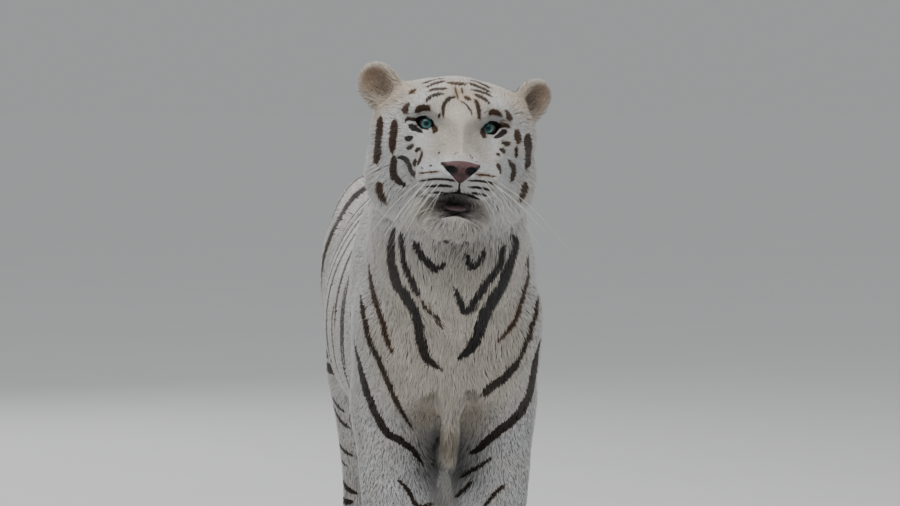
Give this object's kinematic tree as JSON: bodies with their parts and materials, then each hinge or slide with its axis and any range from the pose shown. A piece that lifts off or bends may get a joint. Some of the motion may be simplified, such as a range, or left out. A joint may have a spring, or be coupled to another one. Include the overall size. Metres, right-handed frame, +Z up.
{
  "type": "white tiger",
  "caption": "Life-size still model of a standing white tiger, head raised to look straight ahead, lips parted, striped coat, tail hanging with its tip curled up.",
  "frame": {"origin": "middle of the model's box, on the floor between its feet", "axes": "+Z up, -Y ahead of the tiger, +X to the tiger's left"},
  "size_m": [0.4016, 2.3944, 1.1765],
  "materials": {
    "fur": "short dense fur, creamy white with near-black to chocolate stripes",
    "nose_leather": "moist bare skin, dark mauve pink",
    "tongue": "moist pink",
    "eye": "wet gloss, pale blue-green iris",
    "claw": "smooth horn",
    "whisker": "stiff white hair"
  },
  "bodies": {
    "root": {"head": "fur", "lower_jaw": "fur", "neck": "fur", "trunk": "fur", "nose": "nose_leather", "tongue": "tongue", "ear_left": "fur", "ear_right": "fur", "eye_left": "eye", "eye_right": "eye", "foreleg_left": "fur", "foreleg_right": "fur", "forepaw_left": "fur", "forepaw_right": "fur", "hindleg_left": "fur", "hindleg_right": "fur", "hindpaw_left": "fur", "hindpaw_right": "fur", "tail_base": "fur", "tail_middle": "fur", "tail_tip": "fur"}
  },
  "joints": []
}
